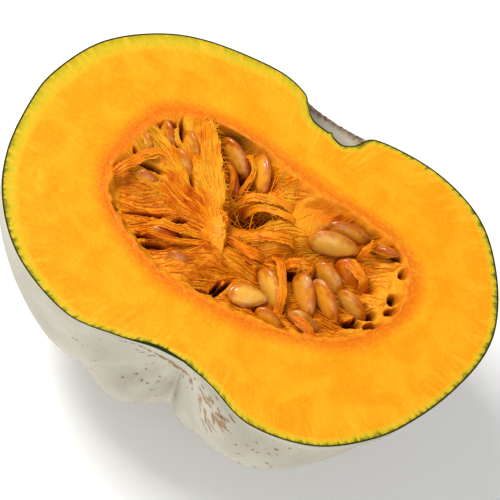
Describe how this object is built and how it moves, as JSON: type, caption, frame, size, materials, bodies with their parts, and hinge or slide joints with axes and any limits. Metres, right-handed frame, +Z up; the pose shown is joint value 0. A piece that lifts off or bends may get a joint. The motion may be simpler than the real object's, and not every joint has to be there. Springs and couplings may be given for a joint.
{
  "type": "halved pumpkin",
  "caption": "Half of a squat grey-skinned pumpkin cut through its stem axis, lying cut face up, with thick orange flesh, stringy pulp and loose seeds in its hollow.",
  "frame": {"origin": "on the floor, under the middle of the half's bounding box", "axes": "+Z up out of the cut face, +Y towards the stem end, +X along the longer side of the cut face"},
  "size_m": [0.204, 0.1528, 0.1004],
  "materials": {
    "flesh": "moist cut flesh under a dull grey-white rind",
    "pulp": "wet stringy fibres",
    "seed": "wet cream seed coat"
  },
  "bodies": {
    "root": {"fruit_wall": "flesh", "pulp": "pulp", "seed_01": "seed", "seed_02": "seed", "seed_03": "seed", "seed_04": "seed", "seed_05": "seed", "seed_06": "seed", "seed_07": "seed", "seed_08": "seed", "seed_09": "seed", "seed_10": "seed", "seed_11": "seed", "seed_12": "seed", "seed_13": "seed", "seed_14": "seed", "seed_15": "seed", "seed_16": "seed", "seed_17": "seed", "seed_18": "seed", "seed_19": "seed", "seed_20": "seed", "seed_21": "seed", "seed_22": "seed"}
  },
  "joints": []
}
